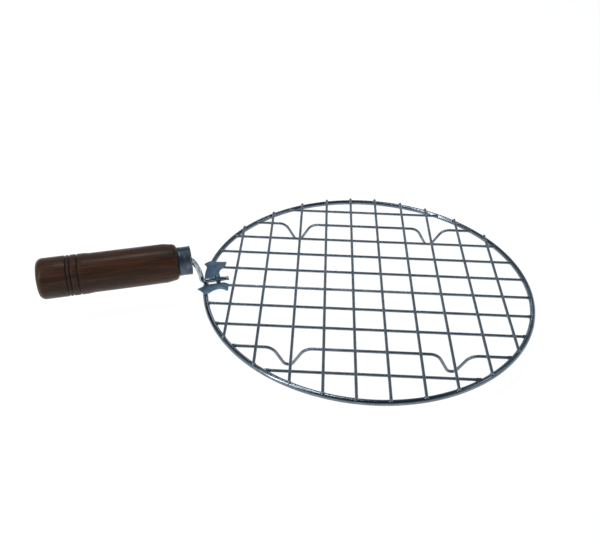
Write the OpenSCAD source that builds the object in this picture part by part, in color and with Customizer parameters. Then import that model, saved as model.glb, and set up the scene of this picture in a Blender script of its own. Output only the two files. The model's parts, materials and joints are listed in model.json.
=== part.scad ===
// Roti grill: a round wire grill on four bent feet, with a wooden handle that folds up over it.
// Millimetres. The origin is under the ring's centre on the plane that the feet stand on.
// +X runs along the lengthwise wires, away from the handle, and +Z is up.

/* [Ring] */
// Outside diameter of the ring
ring_d = 240; // [236:1:244]
// Diameter of the ring's wire
ring_wire_d = 3.8; // [3.6:0.1:4]

/* [Mesh] */
// Diameter of the mesh wires
mesh_wire_d = 2; // [1.8:0.1:2.2]
// Spacing of the mesh wires, centre to centre
mesh_pitch = 21.6; // [21.3:0.1:21.9]
// Shift of the lengthwise wires towards the far side
long_shift = 1.8; // [1.6:0.1:1.8]
// Shift of each crosswise wire off its even place, as the welder left them
cross_shifts = [0, 0.4, 2.1, 1.3, 0.1, -0.7, -0.6, -1.6, -0.4, -0.9];
// Depth to which crossing wires sink into each other at a weld
weld_bite = 0.12; // [0.08:0.01:0.12]
// Reach of the crosswise wires past the ring's centre line
cross_end = 0.8; // [0.5:0.1:1.2]

/* [Feet] */
// Depth of a foot's dip below its own wire
foot_depth = 14.5; // [13:0.5:17]
// Lean of a foot's two legs from the level
foot_lean = 60; // [56:1:64]
// Bend radius where a foot leaves the wire
shoulder_r = 9; // [8:0.5:10]
// Bend radius at a foot's tip
toe_r = 4; // [3.5:0.5:4.5]

/* [Hinge plate] */
// Distance of the hinge from the ring's lengthwise centre line
hinge_offset = 9; // [8.8:0.1:9.2]
// Angle between the handle and the ring's radius at the hinge
hinge_skew = 12.5; // [11.5:0.5:13]
// Rounding of the wings' pressed corners
wing_corner_r = 0.5; // [0.3:0.1:0.7]
// Sheet thickness of the plate
plate_t = 0.9; // [0.8:0.1:1]
// Width of the slot that parts the plate's two wings
slot_w = 6; // [6:0.1:6.2]
// Distance of the arch from the ring's centre line
arch_setback = 9; // [9:0.1:9.2]
// Length of the arch along the rod
arch_l = 3; // [2.6:0.1:3]
// Clear width under the arch
arch_clear_w = 4.4; // [4.4:0.1:4.6]
// Height of the arch's middle line above the ring's centre line
arch_rise = 7.65; // [7.6:0.05:7.7]

/* [Rod] */
// Diameter of the handle's rod
rod_d = 3.6; // [3.4:0.1:3.6]
// Height of the handle's axis above the ring's centre line
handle_rise = 23.7; // [23:0.1:24.5]
// Gap between the rod's level leg and the top of the ring
leg_gap = 0.1; // [0.1:0.05:0.2]
// Angle of the rod's first bend, just inside the ferrule
neck_bend = 62; // [61:0.5:64]
// Radius of the tight bends at both ends of the neck
tight_bend_r = 3; // [2.5:0.1:3.2]
// Radius of the neck's long easy curve
neck_r = 44; // [42:1:48]
// Distance from the ring's centre line to where the leg turns level
leg_start = 0.2; // [0:0.1:0.4]
// Distance from the ring's centre line to the leg's hammered end
leg_reach = 17; // [16.6:0.1:17]
// Width of the hammered end
flare_w = 5.2; // [5:0.1:5.4]
// Thickness of the hammered end
flare_t = 1.7; // [1.5:0.1:1.9]
// Length of the rod inside the wood
tang_l = 58; // [40:1:70]

/* [Ferrule] */
// Outside diameter of the ferrule
ferrule_d = 20.1; // [19.6:0.1:20.4]
// Length of the ferrule
ferrule_l = 9.1; // [8:0.1:11]
// Wall of the ferrule
ferrule_wall = 0.8; // [0.6:0.1:1]
// Diameter of the rolled lip at its front
lip_d = 20.6; // [20.4:0.1:21]

/* [Grip] */
// Length of the wooden grip, without its tenon
grip_l = 95.4; // [90:0.2:105]
// Diameter of the grip's rear part
grip_d = 28.1; // [27:0.1:28.6]
// Diameter of the grip's front part
grip_front_d = 27.3; // [26.4:0.1:27.6]
// Diameter at the front shoulder
shoulder_d = 25.6; // [25:0.1:26.2]
// Rounding of the front shoulder
shoulder_round = 3.5; // [3:0.1:4]
// Rounding of the butt's corner
butt_round = 4.5; // [3.5:0.1:6]
// Height of the domed butt end
butt_dome = 1; // [0.6:0.1:1.6]
// Width of the turned grooves
groove_w = 1.1; // [0.8:0.1:1.4]
// Depth of the turned grooves
groove_depth = 0.6; // [0.4:0.1:0.8]

/* [Hidden] */
mesh_count = 10;
// Lengthwise wires, counted from the far side, that carry the feet
foot_wires = [2, 9];
// Lengthwise wire that stops short under the hinge plate
short_wire = 6;
plain_wires = [for (i = [1 : mesh_count]) if (i != foot_wires[0] && i != foot_wires[1]) i];
ring_r = (ring_d - ring_wire_d) / 2;
ring_wire_r = ring_wire_d / 2;
mesh_wire_r = mesh_wire_d / 2;
rod_r = rod_d / 2;

// The toes' undersides are at z = 0, and the lengthwise wires' tops are almost flush with the ring's
flush_drop = 0.02;
long_z = foot_depth + mesh_wire_r;
ring_z = long_z + mesh_wire_r + flush_drop - ring_wire_r;
cross_z = ring_z + ring_wire_r + mesh_wire_r - weld_bite;
// Wire ends stop this far inside the ring's centre line, where they are coped to its side
butt_gap = 0.9;
cope_bite = 0.02;
// A bent wire's pieces meet face to face, and a thin sleeve laps each joint, sized by the wire
lap_half_l = 1 / 12;
lap_proud = 1 / 60;
foot_x = (mesh_count / 2 - 2.5) * mesh_pitch;
foot_leg_l = (foot_depth - (shoulder_r + toe_r) * (1 - cos(foot_lean))) / sin(foot_lean);
foot_half_w = (shoulder_r + toe_r) * sin(foot_lean) + foot_leg_l * cos(foot_lean);

// Places on the hinge are [along the rod towards the ring's centre, across towards the far side],
// measured from the point where the rod crosses the ring
hinge_x = -sqrt(ring_r ^ 2 - hinge_offset ^ 2);
hinge_yaw = asin(hinge_offset / ring_r) + hinge_skew;
plate_bite = 0.1;
plate_z = ring_z + ring_wire_r - plate_bite;
slot_half_w = slot_w / 2;
arch_inner_r = arch_clear_w / 2;
arch_outer_r = arch_inner_r + plate_t;
arch_spring_z = ring_z + arch_rise - plate_t / 2 - arch_inner_r;
arch_foot_w = 2;
short_wire_start = 12.2;

// The rod falls from the handle's axis to its level leg in one tight bend, one long curve and
// one tight bend back, and the last angle follows from the height to lose
axis_z = ring_z + handle_rise;
leg_z = ring_z + ring_wire_r + leg_gap + rod_r;
drop = axis_z - leg_z;
leg_bend = acos((2 * tight_bend_r + (neck_r - tight_bend_r) * cos(neck_bend) - drop) / (neck_r + tight_bend_r));
neck_run = neck_r * (sin(leg_bend) - sin(neck_bend)) + tight_bend_r * (sin(leg_bend) + sin(neck_bend));
bend_u = leg_start - neck_run;
flare_start = 10.8;
flare_lap = 0.5;
flare_waist = 14.4;
flare_waist_w = 3.9;
flare_corner_r = 0.8;
// The ferrule's face lies where the first bend has begun, so the rod leaves it almost in line
bend_cover = 1.1;
face_u = bend_u + bend_cover;
joint_u = face_u - ferrule_l;
butt_u = joint_u - grip_l;
face_hole_d = 4.6;
press = 0.02;
tenon_r = ferrule_d / 2 - ferrule_wall + press;
tenon_l = ferrule_l - ferrule_wall - 0.2;
groove_places = [20.8, 23.3, 28.2];
front_taper_l = 9;
waist_start = 33;
waist_end = 37;
curve_steps = 8;

steel = "#8795a3";
plate_steel = "#6f8596";
wood = "#6b2a1c";
$fn = 64;

function long_y(i) = ((mesh_count + 1) / 2 - i) * mesh_pitch + long_shift;
function cross_x(j) = (j - (mesh_count + 1) / 2) * mesh_pitch + cross_shifts[j - 1];
function half_chord(r, offset) = sqrt(r ^ 2 - offset ^ 2);

// Points of an arc, from one angle to another about a centre
function arc(centre, r, from, to, steps = curve_steps) =
    [for (k = [0 : steps]) let (a = from + (to - from) * k / steps) centre + r * [cos(a), sin(a)]];

// Points of a shallow curve from p to q, whose middle stands off the straight line by bow, to the left
function bowed(p, q, bow, steps = curve_steps) =
    let (side = [p.y - q.y, q.x - p.x] / norm(q - p))
    [for (k = [0 : steps - 1]) let (t = k / steps) p + (q - p) * t + side * bow * 4 * t * (1 - t)];

module ring_torus(r) {
    translate([0, 0, ring_z]) rotate_extrude($fn = 128) translate([ring_r, 0]) circle(r = r);
}

// Quarter-turned torus piece: it leaves the origin along +X and turns up, or down where angle is negative
module bend(d, r, angle) {
    mirror([0, 0, angle < 0 ? 1 : 0])
        translate([0, 0, r])
            rotate([0, 90, 0]) rotate([90, 0, 0])
                rotate_extrude(angle = abs(angle)) translate([r, 0]) circle(d = d);
}

// Sleeve, a hair proud, that laps the joint between two pieces of one wire
module lap(d) {
    translate([-lap_half_l * d, 0, 0])
        rotate([0, 90, 0]) cylinder(d = d * (1 + 2 * lap_proud), h = 2 * lap_half_l * d);
}

// Round wire in the XZ plane, from steps of [straight length, bend radius, bend angle]
module bent_wire(d, steps, i = 0) {
    length = steps[i][0];
    r = steps[i][1];
    angle = steps[i][2];
    if (length > 0) {
        rotate([0, 90, 0]) cylinder(d = d, h = length);
        if (i > 0) lap(d);
    }
    if (i < len(steps) - 1) {
        translate([length, 0, 0]) {
            lap(d);
            bend(d, r, angle);
            translate([r * sin(abs(angle)), 0, sign(angle) * r * (1 - cos(angle))])
                rotate([0, -angle, 0]) bent_wire(d, steps, i + 1);
        }
    }
}

module rim_ring() {
    color(steel) ring_torus(ring_wire_r);
}

// Straight wire between the ring's two sides, its ends coped to the ring
module long_wire(i) {
    reach = half_chord(ring_r - butt_gap, long_y(i));
    start = i == short_wire ? hinge_x + short_wire_start : -reach;
    color(steel) difference() {
        translate([start, long_y(i), long_z]) rotate([0, 90, 0]) cylinder(d = mesh_wire_d, h = reach - start);
        ring_torus(ring_wire_r - cope_bite);
    }
}

// Lengthwise wire with two dips bent into it, one under each end, that the grill stands on
module foot_wire(i) {
    reach = half_chord(ring_r - butt_gap, long_y(i));
    lead = reach - foot_x - foot_half_w;
    middle = 2 * (foot_x - foot_half_w);
    dip = [[foot_leg_l, toe_r, 2 * foot_lean], [foot_leg_l, shoulder_r, -foot_lean]];
    steps = concat([[lead, shoulder_r, -foot_lean]], dip, [[middle, shoulder_r, -foot_lean]], dip, [[lead, 0, 0]]);
    color(steel) difference() {
        translate([-reach, long_y(i), long_z]) bent_wire(mesh_wire_d, steps);
        ring_torus(ring_wire_r - cope_bite);
    }
}

// Straight wire that lies over the ring and over the lengthwise wires
module cross_wire(j) {
    reach = half_chord(ring_r, cross_x(j)) + cross_end;
    color(steel)
        translate([cross_x(j), -reach, cross_z]) rotate([-90, 0, 0]) cylinder(d = mesh_wire_d, h = 2 * reach);
}

// Puts its children on the hinge: X along the rod towards the ring's centre, Y to the far side
module at_hinge() {
    translate([hinge_x, -hinge_offset, 0]) rotate([0, 0, hinge_yaw]) children();
}

// Wing on the far side of the slot, anticlockwise from the slot's inner end
module far_wing() {
    slot_in = [10.5, slot_half_w];
    waist = [12.9, 13.3];
    inner_tip = [19.1, 22];
    end_corner = [7.5, 25.5];
    outer_tip = [2.3, 22.7];
    notch = [3.7, 18.1];
    slot_out = [-0.2, slot_half_w];
    polygon(concat(
        bowed(slot_in, waist, 0.6),
        bowed(waist, inner_tip, -1.1),
        bowed(inner_tip, end_corner, 0.5),
        bowed(end_corner, outer_tip, -0.3),
        bowed(outer_tip, notch, 0.4),
        bowed(notch, slot_out, -0.6),
        [slot_out]
    ));
}

// Wing on the near side of the slot, anticlockwise from the slot's outer end
module near_wing() {
    slot_out = [-0.7, -slot_half_w];
    outer_tip = [-7.6, -6.8];
    notch = [-4.9, -9.3];
    near_corner = [-2.9, -13.8];
    near_tip = [1.8, -11.8];
    scallop = [9.2, -9.3];
    inner_tip = [13.6, -13.4];
    inner_edge = [15.5, -5.3];
    slot_in = [12, -slot_half_w];
    polygon(concat(
        bowed(slot_out, outer_tip, 0.5),
        bowed(outer_tip, notch, 0.4),
        bowed(notch, near_corner, 0.3),
        bowed(near_corner, near_tip, -0.3),
        bowed(near_tip, scallop, 0.7),
        bowed(scallop, inner_tip, 0.6),
        bowed(inner_tip, inner_edge, -0.5),
        bowed(inner_edge, slot_in, -0.4),
        [slot_in]
    ));
}

// Cross-section of the arch, with the feet that run into the wings, open below
module arch_section() {
    spring_h = arch_spring_z - plate_z;
    difference() {
        union() {
            translate([0, spring_h]) circle(r = arch_outer_r);
            translate([-arch_outer_r, 0]) square([2 * arch_outer_r, spring_h]);
            translate([-arch_outer_r - arch_foot_w, 0]) square([2 * (arch_outer_r + arch_foot_w), plate_t]);
        }
        translate([0, spring_h]) circle(r = arch_inner_r);
        translate([-arch_inner_r, -1]) square([2 * arch_inner_r, spring_h + 1]);
    }
}

// Pressed plate with two scalloped wings and the arch that holds the rod between them
module hinge_bracket() {
    color(plate_steel) at_hinge() union() {
        translate([0, 0, plate_z]) linear_extrude(plate_t)
            offset(r = wing_corner_r) offset(delta = -wing_corner_r) {
                far_wing();
                near_wing();
            }
        translate([arch_setback - arch_l / 2, 0, plate_z])
            rotate([90, 0, 90]) linear_extrude(arch_l) arch_section();
    }
}

// Flat disc with a rounded rim, as left by a hammer
module hammered_disc(d, t) {
    rotate_extrude($fn = 24) {
        square([d / 2 - t / 2, t / 2]);
        translate([0, -t / 2]) square([d / 2 - t / 2, t / 2]);
        intersection() {
            translate([d / 2 - t / 2, 0]) circle(d = t, $fn = 16);
            translate([0, -t]) square([d, 2 * t]);
        }
    }
}

// Rod: tang in the wood, neck down to the ring, level leg under the arch, hammered end
module handle_rod() {
    steps = [
        [tang_l, tight_bend_r, -neck_bend],
        [0, neck_r, neck_bend - leg_bend],
        [0, tight_bend_r, leg_bend],
        [flare_start - leg_start, 0, 0]
    ];
    flare_side = flare_w / 2 - flare_corner_r;
    color(steel) at_hinge() union() {
        translate([bend_u - tang_l, 0, axis_z]) bent_wire(rod_d, steps);
        hull() {
            translate([flare_start - flare_lap, 0, leg_z])
                rotate([0, 90, 0]) cylinder(d = rod_d - 2 * press, h = 2 * flare_lap, $fn = 24);
            translate([flare_waist, 0, leg_z]) hammered_disc(flare_waist_w, flare_t + 0.3);
        }
        hull() {
            translate([flare_waist, 0, leg_z]) hammered_disc(flare_waist_w, flare_t + 0.3);
            for (side = [-1, 1])
                translate([leg_reach - flare_corner_r, side * flare_side, leg_z])
                    hammered_disc(2 * flare_corner_r, 1.5);
        }
    }
}

// Puts its children on the handle's axis, with +Z along it towards the ring
module on_axis(u) {
    at_hinge() translate([u, 0, axis_z]) rotate([0, 90, 0]) children();
}

// Thin steel cap over the front of the wood, with a rolled lip and a hole for the rod
module ferrule() {
    lip_r = (lip_d - ferrule_d) / 2 + 0.4;
    color(plate_steel) on_axis(joint_u) difference() {
        union() {
            cylinder(d = ferrule_d, h = ferrule_l);
            translate([0, 0, ferrule_l - lip_r])
                rotate_extrude() translate([lip_d / 2 - lip_r, 0]) circle(r = lip_r, $fn = 24);
        }
        translate([0, 0, -1]) cylinder(d = ferrule_d - 2 * ferrule_wall, h = ferrule_l - ferrule_wall + 1);
        cylinder(d = face_hole_d, h = ferrule_l + 1);
    }
}

// Half outline of the grip: distance from the axis, then distance from the butt
module grip_outline() {
    rear_r = grip_d / 2;
    front_r = grip_front_d / 2;
    shoulder_front_r = shoulder_d / 2;
    dome_r = rear_r - butt_round;
    taper_start = grip_l - front_taper_l;
    polygon(concat(
        [for (k = [0 : curve_steps - 1]) let (t = k / curve_steps) [dome_r * t, butt_dome * t ^ 2]],
        arc([dome_r, butt_dome + butt_round], butt_round, -90, 0),
        [[rear_r, waist_start], [front_r, waist_end], [front_r, taper_start]],
        arc([shoulder_front_r - shoulder_round, grip_l - shoulder_round], shoulder_round, 0, 75),
        [[ferrule_d / 2 + 0.1, grip_l], [tenon_r, grip_l], [tenon_r, grip_l + tenon_l], [0, grip_l + tenon_l]]
    ));
}

// Turned handle: rounded butt, three grooves, tapered front and a tenon for the ferrule
module wooden_grip() {
    bore_start = bend_u - tang_l - butt_u;
    color(wood) on_axis(butt_u) difference() {
        rotate_extrude($fn = 96) difference() {
            grip_outline();
            for (s = groove_places)
                translate([grip_d / 2 + groove_w - groove_depth, s]) circle(r = groove_w, $fn = 24);
        }
        translate([0, 0, bore_start]) cylinder(d = rod_d - 2 * press, h = tang_l + bend_cover);
    }
}

rim_ring();
for (i = plain_wires) long_wire(i);
foot_wire(foot_wires[0]);  // foot_wire_far
foot_wire(foot_wires[1]);  // foot_wire_near
for (j = [1 : mesh_count]) cross_wire(j);
hinge_bracket();
handle_rod();
ferrule();
wooden_grip();
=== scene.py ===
import json
import random
from math import acos, cos, pi, radians, sin, sqrt

import bmesh
import bpy
from mathutils import Matrix, Vector


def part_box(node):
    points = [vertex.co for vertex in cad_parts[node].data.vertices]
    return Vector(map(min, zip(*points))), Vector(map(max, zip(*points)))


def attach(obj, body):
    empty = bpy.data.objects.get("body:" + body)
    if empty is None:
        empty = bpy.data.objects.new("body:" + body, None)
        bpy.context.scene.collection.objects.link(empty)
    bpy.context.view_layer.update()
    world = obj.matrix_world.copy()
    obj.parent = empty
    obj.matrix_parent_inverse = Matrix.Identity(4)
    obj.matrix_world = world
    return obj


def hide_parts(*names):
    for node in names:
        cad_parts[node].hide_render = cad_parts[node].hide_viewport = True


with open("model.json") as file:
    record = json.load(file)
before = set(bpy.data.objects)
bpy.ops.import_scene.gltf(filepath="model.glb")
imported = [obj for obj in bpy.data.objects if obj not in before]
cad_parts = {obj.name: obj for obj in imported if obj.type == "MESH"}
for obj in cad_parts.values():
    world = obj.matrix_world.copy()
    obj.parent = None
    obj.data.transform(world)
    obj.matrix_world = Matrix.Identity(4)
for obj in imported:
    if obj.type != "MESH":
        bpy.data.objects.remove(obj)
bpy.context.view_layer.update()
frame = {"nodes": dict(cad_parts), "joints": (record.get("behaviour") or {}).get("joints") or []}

mm = 0.001
up = Vector((0, 0, 1))
alongX = Vector((1, 0, 0))
alongY = Vector((0, 1, 0))
random.seed(11)

# what the frame says about the ring and the hinge
ringLow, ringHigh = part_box("rim_ring")
ringWireR = (ringHigh.z - ringLow.z) / 2
ringZ = (ringHigh.z + ringLow.z) / 2
ringR = (ringHigh.y - ringLow.y) / 2 - ringWireR
hinge = frame["joints"][0]
hingePlace = Vector(hinge["pos_m"])
hingeAcross = Vector(hinge["axis"]).normalized()      # along the arch, to the far side
rodWay = hingeAcross.cross(up).normalized()           # along the rod, to the ring's centre
longWires = sorted(n for n in frame["nodes"] if n.startswith("long_wire_"))
footWires = sorted(n for n in frame["nodes"] if n.startswith("foot_wire_"))
crossWires = sorted(n for n in frame["nodes"] if n.startswith("cross_wire_"))
print("stage 1: frame loaded,", len(frame["nodes"]), "nodes")


# camera as the photo was taken: place in mm, angles in degrees, focal length in widths of the film
cameraSet = {"place": (-39.1, -421.1, 330.9), "down": 36.53, "turn": 1.43, "roll": 1.57,
             "focal": 1.192, "film": 36, "nearest": 0.01, "farthest": 50}


def makeCamera(look):
    data = bpy.data.cameras.new("camera")
    data.sensor_width = look["film"]
    data.lens = look["focal"] * look["film"]
    data.clip_start, data.clip_end = look["nearest"], look["farthest"]
    camera = bpy.data.objects.new("camera", data)
    bpy.context.scene.collection.objects.link(camera)
    turn = Matrix.Rotation(radians(look["turn"]), 4, "Z")
    tilt = Matrix.Rotation(radians(90 - look["down"]), 4, "X")
    roll = Matrix.Rotation(radians(look["roll"]), 4, "Z")
    camera.matrix_world = Matrix.Translation(Vector(look["place"]) * mm) @ turn @ tilt @ roll
    bpy.context.scene.camera = camera


makeCamera(cameraSet)


# one hex colour, as it looks on a screen, turned to the linear values that a shader takes
def colour(hexText):
    channels = [int(hexText[i:i + 2], 16) / 255 for i in (1, 3, 5)]
    return [c / 12.92 if c <= 0.04045 else ((c + 0.055) / 1.055) ** 2.4 for c in channels] + [1]


# adds a node, sets its fields and input values, and links its inputs, by socket name or number
def addNode(tree, kind, fields=None, values=None, links=None):
    node = tree.nodes.new(kind)
    for name, value in (fields or {}).items():
        setattr(node, name, value)
    for name, value in (values or {}).items():
        node.inputs[name].default_value = value
    for name, source in (links or {}).items():
        tree.links.new(source, node.inputs[name])
    return node


def fillRamp(node, stops):
    ramp = node.color_ramp
    stops = list(stops)
    while len(ramp.elements) < len(stops):
        ramp.elements.new(0.5)
    for element, (place, value) in zip(ramp.elements, stops):
        element.position = place
        element.color = value


mixA, mixB, mixResult = 6, 7, 2      # sockets of a Mix node that is set to colour


def newMaterial(name):
    material = bpy.data.materials.new(name)
    material.use_nodes = True
    material.node_tree.nodes.clear()
    return material, material.node_tree


# Plated steel wire and sheet. Drawing and rolling leave fine lines along the metal, and years of flame dull
# the bright plating in soft cloudy patches, so it mirrors the room in a broken, blue-grey way.
# "cloud", "line" and "depth" are in mm; the lines are drawn coarser than the real 0.05 mm, so they show
ringLook = {"bright": "#828c96", "dull": "#68727c", "gloss": 0.16, "matt": 0.26,
            "cloud": 9, "line": 0.35, "depth": 0.0008}
meshLook = {"bright": "#828d98", "dull": "#66717c", "gloss": 0.28, "matt": 0.40,
            "cloud": 6, "line": 0.30, "depth": 0.0008}
rodLook = {"bright": "#b2b9bf", "dull": "#8f98a0", "gloss": 0.07, "matt": 0.18,
           "cloud": 7, "line": 0.35, "depth": 0.002}
plateLook = {"bright": "#7891a6", "dull": "#5d7689", "gloss": 0.40, "matt": 0.50,
             "cloud": 5, "line": 0.40, "depth": 0.008}
capLook = {"bright": "#626f7a", "dull": "#3d4751", "gloss": 0.36, "matt": 0.50,
           "cloud": 6, "line": 0.35, "depth": 0.008}
# how every one of them wears: where the clouds begin and end, and how far a line is drawn out
wear = {"cloudFrom": 0.35, "cloudTo": 0.68, "cloudDetail": 4, "cloudRough": 0.6,
        "lineDetail": 2, "lineSquash": 0.02, "bump": 0.5}


def platedSteel(name, look):
    material, tree = newMaterial(name)
    place = addNode(tree, "ShaderNodeTexCoord").outputs["Object"]
    run = addNode(tree, "ShaderNodeAttribute", {"attribute_name": "run"}).outputs["Vector"]
    cloud = addNode(tree, "ShaderNodeTexNoise", links={"Vector": place},
                    values={"Scale": 1 / (look["cloud"] * mm), "Detail": wear["cloudDetail"],
                            "Roughness": wear["cloudRough"]})
    drawn = addNode(tree, "ShaderNodeMapping", values={"Scale": (wear["lineSquash"], 1, 1)},
                    links={"Vector": run})
    lines = addNode(tree, "ShaderNodeTexNoise", values={"Scale": 1 / (look["line"] * mm),
                    "Detail": wear["lineDetail"]}, links={"Vector": drawn.outputs["Vector"]})
    patch = addNode(tree, "ShaderNodeMapRange", values={"From Min": wear["cloudFrom"],
                    "From Max": wear["cloudTo"]}, links={"Value": cloud.outputs["Fac"]})
    tone = addNode(tree, "ShaderNodeMix", {"data_type": "RGBA"}, links={"Factor": patch.outputs["Result"]},
                   values={mixA: colour(look["bright"]), mixB: colour(look["dull"])})
    rough = addNode(tree, "ShaderNodeMapRange", values={"To Min": look["gloss"], "To Max": look["matt"]},
                    links={"Value": patch.outputs["Result"]})
    bump = addNode(tree, "ShaderNodeBump", links={"Height": lines.outputs["Fac"]},
                   values={"Strength": wear["bump"], "Distance": look["depth"] * mm})
    shader = addNode(tree, "ShaderNodeBsdfPrincipled", values={"Metallic": 1},
                     links={"Base Color": tone.outputs[mixResult], "Roughness": rough.outputs["Result"],
                            "Normal": bump.outputs["Normal"]})
    addNode(tree, "ShaderNodeOutputMaterial", links={"Surface": shader.outputs["BSDF"]})
    return material


# Turned rosewood-like hardwood under old spirit lacquer: the grain runs along the handle in red and
# near-black streaks, the turned grooves are burnt dark, the wood is made darker round the nose and at the
# seat by the ferrule, and the lacquer is worn to a weak, greyish gloss.
# Grain, fleck, patch and dent are sizes in mm; tones, flecks and patches are the levels of the noise where
# a colour or a finish begins and ends
woodLook = {"red": "#512e20", "brown": "#3b281d", "dark": "#2b1e17", "darkening": "#1c130f",
            "lacquer": "#ffeedd", "grainLength": 42, "grainWidth": 2.6, "grainDetail": 5,
            "grainRough": 0.62, "grainWander": 0.6,
            "tones": (0.32, 0.5, 0.68), "fleck": 0.7, "fleckDetail": 2, "flecks": (0.56, 0.72),
            "fleckShare": 0.55, "patch": 16, "patchDetail": 3, "patches": (0.35, 0.65), "gloss": 0.34,
            "matt": 0.52, "bump": 0.4, "dent": 0.05, "shine": 0.2, "coat": 0.05, "coatRough": 0.25}


def lacqueredWood(name, look):
    material, tree = newMaterial(name)
    place = addNode(tree, "ShaderNodeTexCoord").outputs["Object"]
    handleTurn = rodWay.to_2d().angle_signed(Vector((1, 0)))
    turned = addNode(tree, "ShaderNodeMapping", {"vector_type": "TEXTURE"},
                     values={"Rotation": (0, 0, handleTurn)}, links={"Vector": place})
    squash = look["grainWidth"] / look["grainLength"]
    along = addNode(tree, "ShaderNodeMapping", values={"Scale": (squash, 1, 1)},
                    links={"Vector": turned.outputs["Vector"]}).outputs["Vector"]
    streak = addNode(tree, "ShaderNodeTexNoise", values={"Scale": 1 / (look["grainWidth"] * mm),
                     "Detail": look["grainDetail"], "Roughness": look["grainRough"],
                     "Distortion": look["grainWander"]}, links={"Vector": along})
    fleck = addNode(tree, "ShaderNodeTexNoise", values={"Scale": 1 / (look["fleck"] * mm),
                    "Detail": look["fleckDetail"]}, links={"Vector": along})
    patch = addNode(tree, "ShaderNodeTexNoise", values={"Scale": 1 / (look["patch"] * mm),
                    "Detail": look["patchDetail"]}, links={"Vector": place})
    tone = addNode(tree, "ShaderNodeValToRGB", links={"Fac": streak.outputs["Fac"]})
    fillRamp(tone, zip(look["tones"], [colour(look[shade]) for shade in ("dark", "brown", "red")]))
    flecks = addNode(tree, "ShaderNodeMapRange", values={"From Min": look["flecks"][0],
                     "From Max": look["flecks"][1], "To Max": look["fleckShare"]},
                     links={"Value": fleck.outputs["Fac"]})
    flecked = addNode(tree, "ShaderNodeMix", {"data_type": "RGBA"}, values={mixB: colour(look["dark"])},
                      links={"Factor": flecks.outputs["Result"], mixA: tone.outputs["Color"]})
    # darkening mask: the burnt grooves, and the wood made darker round the nose and at the seat by the
    # ferrule
    darkened = addNode(tree, "ShaderNodeAttribute", {"attribute_name": "darkening"}).outputs["Fac"]
    base = addNode(tree, "ShaderNodeMix", {"data_type": "RGBA"}, values={mixB: colour(look["darkening"])},
                   links={"Factor": darkened, mixA: flecked.outputs[mixResult]})
    rough = addNode(tree, "ShaderNodeMapRange", values={"From Min": look["patches"][0],
                    "From Max": look["patches"][1], "To Min": look["gloss"], "To Max": look["matt"]},
                    links={"Value": patch.outputs["Fac"]})
    bump = addNode(tree, "ShaderNodeBump", values={"Strength": look["bump"], "Distance": look["dent"] * mm},
                   links={"Height": fleck.outputs["Fac"]})
    shader = addNode(tree, "ShaderNodeBsdfPrincipled",
                     values={"IOR": 1.5, "Specular IOR Level": look["shine"],
                             "Specular Tint": colour(look["lacquer"]), "Coat Weight": look["coat"],
                             "Coat Roughness": look["coatRough"]},
                     links={"Base Color": base.outputs[mixResult], "Roughness": rough.outputs["Result"],
                            "Normal": bump.outputs["Normal"]})
    addNode(tree, "ShaderNodeOutputMaterial", links={"Surface": shader.outputs["BSDF"]})
    return material


# White studio paper: what the camera and the metal see of it glows white, and it still takes a soft shadow
floorLook = {"paper": "#eeeeee", "glow": 1.17, "share": 0.8, "size": 8}


def studioPaper(name, look):
    material, tree = newMaterial(name)
    path = addNode(tree, "ShaderNodeLightPath").outputs
    seen = addNode(tree, "ShaderNodeMath", {"operation": "MAXIMUM"},
                   links={0: path["Is Camera Ray"], 1: path["Is Glossy Ray"]})
    through = addNode(tree, "ShaderNodeMath", {"operation": "MAXIMUM"},
                      links={0: seen.outputs[0], 1: path["Is Transmission Ray"]})
    share = addNode(tree, "ShaderNodeMath", {"operation": "MULTIPLY"}, values={1: look["share"]},
                    links={0: through.outputs[0]})
    paper = addNode(tree, "ShaderNodeBsdfDiffuse", values={"Color": colour(look["paper"])})
    glow = addNode(tree, "ShaderNodeEmission", values={"Strength": look["glow"]})
    mixed = addNode(tree, "ShaderNodeMixShader",
                    links={"Fac": share.outputs[0], 1: paper.outputs[0], 2: glow.outputs[0]})
    addNode(tree, "ShaderNodeOutputMaterial", links={"Surface": mixed.outputs[0]})
    return material


ringSteel = platedSteel("platedRingWire", ringLook)
meshSteel = platedSteel("platedMeshWire", meshLook)
rodSteel = platedSteel("polishedPlatedRod", rodLook)
plateSteel = platedSteel("rolledSteelSheet", plateLook)
capSteel = platedSteel("pressedSteelCap", capLook)
wood = lacqueredWood("lacqueredHardwood", woodLook)
print("stage 2: materials made")


# soft studio: a room that darkens overhead and more so behind the camera, and that the camera sees as white
# each tone is the room's colour at that height, from 0 at the horizon to 1 overhead
roomLook = {"tones": ((0.1, (0.86, 0.90, 0.94, 1)), (0.42, (0.26, 0.30, 0.34, 1)),
                      (0.66, (0.16, 0.19, 0.225, 1)), (0.9, (0.05, 0.062, 0.078, 1))),
            "darkWay": (0, -0.78, 0.62), "darkFrom": 0.55, "darkTo": 0.93, "darkShare": 0.6,
            "seen": (1, 1, 1, 1)}
# lamps, aimed at the origin: place and size in m, and how bright a mirror would show the lamp.
# The left box gives the ring its long near highlight, and the handle box the far one and the sheen on the
# wood's top. The leg and flare boxes are for the rod's leg and end
lampSet = {
    "leftBox": {"place": (-0.72, -0.47, 0.70), "width": 0.16, "height": 0.90, "glow": 11},
    "rightBox": {"place": (0.86, 0.02, 0.86), "width": 0.26, "height": 0.26, "glow": 3},
    "handleBox": {"place": (-0.20, 0.25, 1.05), "width": 0.20, "height": 0.20, "glow": 12},
    "legBox": {"place": (-0.084, 0.193, 1.0), "width": 0.14, "height": 0.14, "glow": 8},
    "flareBox": {"place": (-0.06, 1.05, 0.69), "width": 0.20, "height": 0.12, "glow": 3},
}


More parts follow.
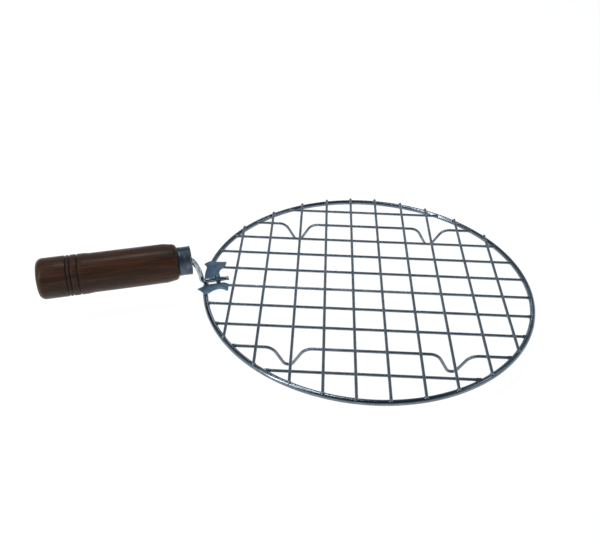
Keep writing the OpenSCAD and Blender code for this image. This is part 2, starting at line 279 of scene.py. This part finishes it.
def makeRoom(look):
    world = bpy.data.worlds.new("studio")
    world.use_nodes = True
    tree = world.node_tree
    tree.nodes.clear()
    way = addNode(tree, "ShaderNodeTexCoord").outputs["Generated"]
    height = addNode(tree, "ShaderNodeSeparateXYZ", links={"Vector": way}).outputs["Z"]
    tone = addNode(tree, "ShaderNodeValToRGB", links={"Fac": height})
    fillRamp(tone, look["tones"])
    facing = addNode(tree, "ShaderNodeVectorMath", {"operation": "DOT_PRODUCT"},
                     values={1: look["darkWay"]}, links={0: way})
    dim = addNode(tree, "ShaderNodeMapRange", {"interpolation_type": "SMOOTHSTEP"},
                  values={"From Min": look["darkFrom"], "From Max": look["darkTo"], "To Min": 1,
                          "To Max": look["darkShare"]}, links={"Value": facing.outputs["Value"]})
    back = addNode(tree, "ShaderNodeBackground", links={"Color": tone.outputs["Color"],
                   "Strength": dim.outputs["Result"]})
    white = addNode(tree, "ShaderNodeBackground", values={"Color": look["seen"]})
    seen = addNode(tree, "ShaderNodeLightPath").outputs["Is Camera Ray"]
    mixed = addNode(tree, "ShaderNodeMixShader",
                    links={"Fac": seen, 1: back.outputs[0], 2: white.outputs[0]})
    addNode(tree, "ShaderNodeOutputWorld", links={"Surface": mixed.outputs[0]})
    bpy.context.scene.world = world


def makeLamp(name, look):
    data = bpy.data.lights.new(name, "AREA")
    data.shape = "RECTANGLE"
    data.size, data.size_y = look["width"], look["height"]
    data.energy = look["glow"] * pi * look["width"] * look["height"]
    lamp = bpy.data.objects.new(name, data)
    bpy.context.scene.collection.objects.link(lamp)
    lamp.location = look["place"]
    lamp.rotation_euler = (-Vector(look["place"])).to_track_quat("-Z", "Y").to_euler()
    lamp.visible_camera = False


def makeFloor(look):
    bm = bmesh.new()
    bmesh.ops.create_grid(bm, x_segments=1, y_segments=1, size=look["size"] / 2)
    mesh = bpy.data.meshes.new("floor")
    bm.to_mesh(mesh)
    bm.free()
    floor = bpy.data.objects.new("floor", mesh)
    bpy.context.scene.collection.objects.link(floor)
    mesh.materials.append(studioPaper("studioPaper", look))


makeRoom(roomLook)
for lampName, lampLook in lampSet.items():
    makeLamp(lampName, lampLook)
makeFloor(floorLook)
bpy.context.scene.view_settings.view_transform = "Standard"
print("stage 3: studio lit")


# puts a finished bmesh into the scene as one piece that stands for its CAD nodes
def finishPiece(name, bm, body, material, nodes, crease=35):
    bmesh.ops.recalc_face_normals(bm, faces=bm.faces)
    for face in bm.faces:
        face.smooth = True
    for edge in bm.edges:
        edge.smooth = edge.is_manifold and edge.calc_face_angle() < radians(crease)
    mesh = bpy.data.meshes.new(name)
    bm.to_mesh(mesh)
    bm.free()
    mesh.materials.append(material)
    piece = bpy.data.objects.new(name, mesh)
    bpy.context.scene.collection.objects.link(piece)
    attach(piece, body)
    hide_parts(*nodes)
    return piece


def runLayer(bm):
    return bm.verts.layers.float_vector.get("run") or bm.verts.layers.float_vector.new("run")


# A wire is drawn as it is bent: a round end is set down, then pulled straight or spun round a bend.
# Its run attribute is the distance along the wire and the place in its section, for the drawing lines.
def startWire(bm, place, heading, radius, sides=16):
    run = runLayer(bm)
    across = up.cross(heading).normalized()
    turned = Matrix((across, heading.cross(across), heading)).transposed().to_4x4()
    made = bmesh.ops.create_circle(bm, cap_ends=True, radius=radius, segments=sides,
                                   matrix=Matrix.Translation(place) @ turned)
    verts = made["verts"]
    edges = list({e for v in verts for e in v.link_edges})
    wire = {"bm": bm, "verts": verts, "edges": edges, "centre": place.copy(), "heading": heading.copy(),
            "length": 0, "run": run, "wide": 1, "tall": 1}
    markRun(wire)
    return wire


def markRun(wire):
    across = up.cross(wire["heading"]).normalized()
    upward = wire["heading"].cross(across)
    for vert in wire["verts"]:
        offset = vert.co - wire["centre"]
        vert[wire["run"]] = (wire["length"], offset.dot(across), offset.dot(upward))


def takeLoop(wire, geometry):
    wire["verts"] = [g for g in geometry if isinstance(g, bmesh.types.BMVert)]
    fresh = set(wire["verts"])
    wire["edges"] = [g for g in geometry if isinstance(g, bmesh.types.BMEdge) and fresh.issuperset(g.verts)]


def pullWire(wire, length, steps=1):
    for _ in range(steps):
        made = bmesh.ops.extrude_edge_only(wire["bm"], edges=wire["edges"])
        takeLoop(wire, made["geom"])
        move = wire["heading"] * (length / steps)
        bmesh.ops.translate(wire["bm"], verts=wire["verts"], vec=move)
        wire["centre"] += move
        wire["length"] += length / steps
        markRun(wire)


def bendWire(wire, towards, radius, angle, steps=8):
    centre = wire["centre"] + towards * radius
    axis = wire["heading"].cross(towards)
    for _ in range(steps):
        made = bmesh.ops.spin(wire["bm"], geom=wire["verts"] + wire["edges"], cent=centre, axis=axis,
                              angle=angle / steps, steps=1, use_duplicate=False)
        takeLoop(wire, made["geom_last"])
        turn = Matrix.Rotation(angle / steps, 3, axis)
        wire["centre"] = centre + turn @ (wire["centre"] - centre)
        wire["heading"] = turn @ wire["heading"]
        wire["length"] += radius * angle / steps
        markRun(wire)


# sets the width and height of the wire's open end, as shares of its round size
def pressWire(wire, wide, tall):
    across = up.cross(wire["heading"]).normalized()
    local = Matrix((across, wire["heading"].cross(across), wire["heading"])).to_4x4()
    space = local @ Matrix.Translation(-wire["centre"])
    bmesh.ops.scale(wire["bm"], verts=wire["verts"], space=space,
                    vec=(wide / wire["wide"], tall / wire["tall"], 1))
    wire["wide"], wire["tall"] = wide, tall


def closeWire(wire):
    bmesh.ops.edgeloop_fill(wire["bm"], edges=wire["edges"])


# blob of metal that a spot weld squeezes out where two wires cross
def addNugget(bm, place, size):
    run = runLayer(bm)
    stretch = Matrix.Diagonal(Vector(size) * mm).to_4x4()
    made = bmesh.ops.create_icosphere(bm, subdivisions=2, radius=1,
                                      matrix=Matrix.Translation(place) @ stretch)
    for vert in made["verts"]:
        vert[run] = vert.co


# ring: one round wire, butt-welded where the hinge plate covers the weld; the weld's sizes are in mm
ringSet = {"sides": 24, "steps": 240, "weldAngle": 183, "weldSwell": 0.175, "weldSpan": 2.4}


def makeRing(look):
    bm = bmesh.new()
    start = Matrix.Rotation(radians(look["weldAngle"]), 4, "Z")
    section = Matrix.Translation((ringR, 0, ringZ)) @ Matrix.Rotation(pi / 2, 4, "X")
    made = bmesh.ops.create_circle(bm, radius=ringWireR, segments=look["sides"], matrix=start @ section)
    edges = list({e for v in made["verts"] for e in v.link_edges})
    bmesh.ops.spin(bm, geom=made["verts"] + edges, cent=(0, 0, 0), axis=up, angle=2 * pi,
                   steps=look["steps"], use_merge=True, use_duplicate=False)
    run = runLayer(bm)
    weld = start @ Vector((ringR, 0, ringZ))
    for vert in bm.verts:
        out = Vector((vert.co.x, vert.co.y, 0)).normalized()
        middle = out * ringR + up * ringZ
        offset = vert.co - middle
        gap = (middle - weld).length
        vert[run] = (gap, offset.dot(out), offset.z)
        if gap < look["weldSpan"] * mm:
            fade = cos(gap / (look["weldSpan"] * mm) * pi / 2) ** 2
            vert.co = middle + offset * (1 + look["weldSwell"] * mm / ringWireR * fade)
    finishPiece("rimRing", bm, "grill", ringSteel, ["rim_ring"])


makeRing(ringSet)

# mesh: wires welded to the ring; lengths are in mm, and swell is the width of a lengthwise wire's end as a
# share of the wire, because the weld thickens it where it butts against the ring's inside
meshSet = {"sides": 16, "swell": 1.3, "swellLength": 1.5, "swellTaper": 0.6, "nugget": (1.25, 1.25, 0.62),
           "ringNugget": (1.5, 1.5, 0.6), "clipWidth": 0.82, "clipLength": 0.2, "endJitter": 0.6}
# feet: two dips bent into a lengthwise wire
footSet = {"spread": 108, "lean": 60, "shoulder": 9, "toe": 4, "shoulderSteps": 8, "toeSteps": 14,
           "dip": 10}


def swellAt(y, look):
    return look["swellLength"] * mm * ringR / sqrt(ringR ** 2 - y ** 2)


# starts a lengthwise wire at a weld on the ring
def startWeld(wire, y, look):
    pressWire(wire, look["swell"], look["swell"])
    pullWire(wire, swellAt(y, look))
    pullWire(wire, swellAt(y, look) * look["swellTaper"])
    pressWire(wire, 1, 1)


# takes a lengthwise wire on to the weld at x and ends it there
def endWeld(wire, x, y, look):
    pullWire(wire, x - wire["centre"].x - swellAt(y, look) * (1 + look["swellTaper"]))
    pullWire(wire, swellAt(y, look) * look["swellTaper"])
    pressWire(wire, look["swell"], look["swell"])
    pullWire(wire, swellAt(y, look))
    closeWire(wire)


# straight wires along X, between the ends that their CAD nodes have
def makeLongWires(look):
    for node in longWires:
        bm = bmesh.new()
        low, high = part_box(node)
        radius = (high.z - low.z) / 2
        y = (low.y + high.y) / 2
        wire = startWire(bm, Vector((low.x, y, high.z - radius)), alongX, radius, look["sides"])
        stopsShort = -low.x < sqrt(ringR ** 2 - y ** 2) - 3 * ringWireR
        if not stopsShort:
            startWeld(wire, y, look)
        endWeld(wire, high.x, y, look)
        finishPiece("longWire" + node.split("_")[-1], bm, "grill", meshSteel, [node])


def bendDip(wire, look, depth):
    lean, shoulder, toe = radians(look["lean"]), look["shoulder"] * mm, look["toe"] * mm
    leg = (depth - (shoulder + toe) * (1 - cos(lean))) / sin(lean)
    bendWire(wire, alongY.cross(wire["heading"]), shoulder, lean, look["shoulderSteps"])
    pullWire(wire, leg)
    bendWire(wire, wire["heading"].cross(alongY), toe, 2 * lean, look["toeSteps"])
    pullWire(wire, leg)
    bendWire(wire, alongY.cross(wire["heading"]), shoulder, lean, look["shoulderSteps"])


def dipHalfWidth(look, depth):
    lean, bends = radians(look["lean"]), (look["shoulder"] + look["toe"]) * mm
    return bends * sin(lean) + (depth - bends * (1 - cos(lean))) / sin(lean) * cos(lean)


def makeFootWires(look, wireLook):
    for node in footWires:
        bm = bmesh.new()
        low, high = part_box(node)
        radius = (high.y - low.y) / 2
        depth = high.z - low.z - 2 * radius
        y = (low.y + high.y) / 2
        wire = startWire(bm, Vector((low.x, y, high.z - radius)), alongX, radius, wireLook["sides"])
        startWeld(wire, y, wireLook)
        for side in (-1, 1):
            dipStart = side * look["spread"] / 2 * mm - dipHalfWidth(look, depth)
            pullWire(wire, dipStart - wire["centre"].x)
            bendDip(wire, look, depth)
        endWeld(wire, high.x, y, wireLook)
        name = "footWire" + node.split("_")[-1].capitalize()
        finishPiece(name, bm, "grill", meshSteel, [node])


# whether a foot wire has dipped away under the crosswise wire at x
def inDip(x, y):
    onFoot = any(abs((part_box(n)[0].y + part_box(n)[1].y) / 2 - y) < mm for n in footWires)
    return onFoot and abs(abs(x) - footSet["spread"] / 2 * mm) < footSet["dip"] * mm


# crosswise wires lie on the others, with a nugget at every weld
def makeCrossWires(look):
    lengthwise = [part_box(n) for n in longWires + footWires]
    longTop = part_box(longWires[0])[1].z
    for node in crossWires:
        bm = bmesh.new()
        low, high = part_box(node)
        radius = (high.x - low.x) / 2
        x = (low.x + high.x) / 2
        clip = radius * look["clipLength"]
        short = random.uniform(0, look["endJitter"]) * mm
        wire = startWire(bm, Vector((x, low.y, (low.z + high.z) / 2)), alongY, radius * look["clipWidth"],
                         look["sides"])
        wire["wide"], wire["tall"] = look["clipWidth"], look["clipWidth"]
        pullWire(wire, clip)
        pressWire(wire, 1, 1)
        pullWire(wire, high.y - low.y - 2 * clip - short)
        pullWire(wire, clip)
        pressWire(wire, look["clipWidth"], look["clipWidth"])
        closeWire(wire)
        reach = sqrt(ringR ** 2 - x ** 2)
        for wireLow, wireHigh in lengthwise:
            y = (wireLow.y + wireHigh.y) / 2
            if abs(y) < reach - 2 * ringWireR and x > wireLow.x and not inDip(x, y):
                addNugget(bm, Vector((x, y, longTop)), look["nugget"])
        for y in (-reach, reach):
            addNugget(bm, Vector((x, y, ringHigh.z)), look["ringNugget"])
        finishPiece("crossWire" + node.split("_")[-1], bm, "grill", meshSteel, [node])


makeLongWires(meshSet)
makeFootWires(footSet, meshSet)
makeCrossWires(meshSet)
print("stage 4: ring and mesh made")


# hinge plate: the CAD sheet with its cut edges rounded as a press leaves them; mm and degrees
plateSet = {"edge": 0.16, "sharp": 40, "merge": 0.001, "flat": 1}


def makePlate(look):
    bm = bmesh.new()
    bm.from_mesh(frame["nodes"]["hinge_bracket"].data)
    bmesh.ops.remove_doubles(bm, verts=bm.verts, dist=look["merge"] * mm)
    bmesh.ops.dissolve_limit(bm, angle_limit=radians(look["flat"]), verts=bm.verts, edges=bm.edges)
    edges = [e for e in bm.edges if e.is_manifold and e.calc_face_angle() > radians(look["sharp"])]
    bmesh.ops.bevel(bm, geom=edges, offset=look["edge"] * mm, offset_type="OFFSET", segments=2, profile=0.5,
                    affect="EDGES", material=-1, clamp_overlap=True)
    bmesh.ops.triangulate(bm, faces=bm.faces)
    run = runLayer(bm)
    for vert in bm.verts:
        vert[run] = (vert.co.dot(rodWay), vert.co.dot(hingeAcross), vert.co.z)
    finishPiece("hingePlate", bm, "grill", plateSteel, ["hinge_bracket"])


makePlate(plateSet)


# rod: the same bends as the CAD rod, in mm from the point where it crosses the ring
rodSet = {"diameter": 3.6, "setback": 9, "rise": 23.7, "gap": 0.1, "neckBend": 62, "tightR": 3, "neckR": 44,
          "legStart": 0.2, "flareStart": 10.8, "tang": 58, "cover": 1.1, "sides": 24,
          "bendSteps": (12, 10, 14)}
# stations of the hammered end, in mm: distance, half width, half height
flare = [(10.8, 1.8, 1.8), (12.4, 1.88, 1.45), (13.6, 1.93, 1.18), (14.4, 1.95, 1.0), (15.4, 2.2, 0.86),
         (16.2, 2.45, 0.76), (16.6, 2.42, 0.7), (16.9, 2.15, 0.55), (17.0, 1.8, 0.3)]


def rodPlan(look):
    crossing = hingePlace - rodWay * look["setback"] * mm
    crossing.z = 0
    axisZ = ringZ + look["rise"] * mm
    legZ = ringZ + ringWireR + (look["gap"] + look["diameter"] / 2) * mm
    drop = (axisZ - legZ) / mm
    tight, wide, first = look["tightR"], look["neckR"], radians(look["neckBend"])
    last = acos((2 * tight + (wide - tight) * cos(first) - drop) / (wide + tight))
    bendAt = look["legStart"] - wide * (sin(last) - sin(first)) - tight * (sin(last) + sin(first))
    return {"crossing": crossing, "axisZ": axisZ, "first": first, "last": last, "bendAt": bendAt}


def makeRod(look, plan):
    bm = bmesh.new()
    radius = look["diameter"] / 2 * mm
    start = plan["crossing"] + rodWay * (plan["bendAt"] - look["tang"]) * mm + up * plan["axisZ"]
    wire = startWire(bm, start, rodWay, radius, look["sides"])
    pullWire(wire, look["tang"] * mm, 2)
    firstSteps, neckSteps, lastSteps = look["bendSteps"]
    bendWire(wire, -up, look["tightR"] * mm, plan["first"], firstSteps)
    towards = hingeAcross.cross(wire["heading"])
    bendWire(wire, towards, look["neckR"] * mm, plan["last"] - plan["first"], neckSteps)
    towards = wire["heading"].cross(hingeAcross)
    bendWire(wire, towards, look["tightR"] * mm, plan["last"], lastSteps)
    pullWire(wire, (look["flareStart"] - look["legStart"]) * mm)
    reach = look["flareStart"]
    for place, halfWide, halfTall in flare[1:]:
        pullWire(wire, (place - reach) * mm)
        pressWire(wire, halfWide * mm / radius, halfTall * mm / radius)
        reach = place
    closeWire(wire)
    finishPiece("handleRod", bm, "handle", rodSteel, ["handle_rod"])


poleMerge = 0.002        # mm, joins the points of an outline's end on the axis


# spins an outline of (distance along, distance from axis) round the handle's axis
def turnPiece(points, origin, steps, darkening=None):
    bm = bmesh.new()
    run = runLayer(bm)
    dark = bm.verts.layers.float.new("darkening")
    verts = []
    for i, (along, out) in enumerate(points):
        vert = bm.verts.new(origin + rodWay * along * mm + up * out * mm)
        vert[run] = (out * mm, along * mm, 0)
        vert[dark] = darkening[i] if darkening else 0
        verts.append(vert)
    edges = [bm.edges.new((a, b)) for a, b in zip(verts, verts[1:])]
    bmesh.ops.spin(bm, geom=verts + edges, cent=origin, axis=rodWay, angle=2 * pi, steps=steps,
                   use_merge=True, use_duplicate=False)
    bmesh.ops.remove_doubles(bm, verts=bm.verts, dist=poleMerge * mm)
    return bm


# points of an arc about (along, out), from one angle to another
def arc(along, out, radius, start, end, steps):
    angles = [radians(start + (end - start) * i / steps) for i in range(steps + 1)]
    return [(along + radius * cos(a), out + radius * sin(a)) for a in angles]


# ferrule: thin pressed cap with a rolled lip, in mm; its back edge sits against the wood's shoulder
ferruleSet = {"diameter": 20.1, "length": 9.1, "wall": 0.8, "lip": 20.6, "lipRound": 0.4, "face": 1.6,
              "hole": 4.6, "holeRound": 0.15, "edge": 0.25, "dent": 0.12, "dentFrom": 2.6, "dentTo": 4.1,
              "dentSlope": 0.5, "steps": 96}


def makeFerrule(look, origin):
    outer, inner = look["diameter"] / 2, look["diameter"] / 2 - look["wall"]
    lip = (look["lip"] - look["diameter"]) / 2 + look["lipRound"]
    front, hole, edge, soft = look["length"], look["hole"] / 2, look["edge"], look["holeRound"]
    dentFrom, dentTo, slope = look["dentFrom"], look["dentTo"], look["dentSlope"]
    back = [(0, inner), (0, outer - edge), (edge, outer)]
    dent = [(dentFrom, outer), (dentFrom + slope, outer - look["dent"]),
            (dentTo - slope, outer - look["dent"]), (dentTo, outer)]
    roll = [(front - 2 * lip, outer)] + arc(front - lip, look["lip"] / 2 - lip, lip, 150, 0, 8)
    face = [(front, outer - look["face"]), (front, hole + soft), (front - soft, hole)]
    inside = [(front - look["wall"], hole), (front - look["wall"], inner), (0, inner)]
    bm = turnPiece(back + dent + roll + face + inside, origin, look["steps"])
    finishPiece("ferruleCap", bm, "handle", capSteel, ["ferrule"])


# grip: turned profile, in mm from the butt; a groove's cut runs from its lip over a wall to its floor
gripSet = {"length": 95.4, "rear": 28.1, "front": 27.3, "shoulder": 25.6, "round": 3.5, "buttRound": 4.5,
           "dome": 1, "domeSteps": 8, "taper": 9, "waist": (33, 37), "belly": (62, 0.05),
           "grooves": (20.8, 23.3, 28.2), "grooveWidth": 1.1, "grooveDepth": 0.6, "grooveLip": 0.25,
           "grooveEdge": 0.06, "grooveFloor": (0.55, 0.8), "tenon": 9.25, "tenonLength": 8.1, "bore": 1.79,
           "ferrule": 20.1, "seatGap": 0.1, "steps": 128}
# how dark the wood is made: burnt on a groove's edge and floor, darker at each step round the nose towards
# the ferrule, and dark at the seat against the ferrule
darkeningSet = {"edge": 0.5, "floor": 1, "nose": 0.1, "noseFrom": 3, "seat": 0.9}


# one groove as (along, depth, darkening), the same on both sides of its middle
def grooveCut(look):
    half, depth = look["grooveWidth"] / 2, look["grooveDepth"]
    floorWidth, floorDepth = look["grooveFloor"]
    side = [(-half - look["grooveLip"], 0, 0), (-half, look["grooveEdge"], darkeningSet["edge"]),
            (-half * floorWidth, depth * floorDepth, darkeningSet["floor"])]
    return side + [(0, depth, darkeningSet["floor"])] + [(-a, d, b) for a, d, b in reversed(side)]


def gripOutline(look, boreStart):
    rear, front, shoulder = look["rear"] / 2, look["front"] / 2, look["shoulder"] / 2
    dome, count = rear - look["buttRound"], look["domeSteps"]
    points = [(look["dome"] * (i / count) ** 2, dome * i / count) for i in range(count)]
    points += arc(look["dome"] + look["buttRound"], dome, look["buttRound"], 180, 90, 10)
    darkening = [0] * len(points)
    for place in look["grooves"]:
        cut = grooveCut(look)
        points += [(place + a, rear - d) for a, d, _ in cut]
        darkening += [b for _, _, b in cut]
    bellyAt, bellySwell = look["belly"]
    plain = [(look["waist"][0], rear), (look["waist"][1], front), (bellyAt, front + bellySwell),
             (look["length"] - look["taper"], front)]
    points += plain
    darkening += [0] * len(plain)
    nose = arc(look["length"] - look["round"], shoulder - look["round"], look["round"], 90, 15, 8)
    points += nose
    # the wood is made darker step by step round the nose, towards the ferrule
    darkening += [darkeningSet["nose"] * max(0, i - darkeningSet["noseFrom"]) for i in range(len(nose))]
    tenonEnd = look["length"] + look["tenonLength"]
    # the seat against the ferrule is made dark
    seat = [(look["length"], look["ferrule"] / 2 + look["seatGap"]), (look["length"], look["tenon"]),
            (tenonEnd, look["tenon"]), (tenonEnd, look["bore"]), (boreStart, look["bore"]), (boreStart, 0)]
    return points + seat, darkening + [darkeningSet["seat"]] * len(seat)


def makeGrip(look, origin, boreStart):
    points, darkening = gripOutline(look, boreStart)
    bm = turnPiece(points, origin, look["steps"], darkening)
    finishPiece("woodenGrip", bm, "handle", wood, ["wooden_grip"], crease=50)


plan = rodPlan(rodSet)
makeRod(rodSet, plan)
faceAt = plan["bendAt"] + rodSet["cover"]
jointAt = faceAt - ferruleSet["length"]
buttAt = jointAt - gripSet["length"]
axisStart = plan["crossing"] + up * plan["axisZ"]
makeFerrule(ferruleSet, axisStart + rodWay * jointAt * mm)
makeGrip(gripSet, axisStart + rodWay * buttAt * mm, plan["bendAt"] - rodSet["tang"] - buttAt)
print("stage 5: handle made")
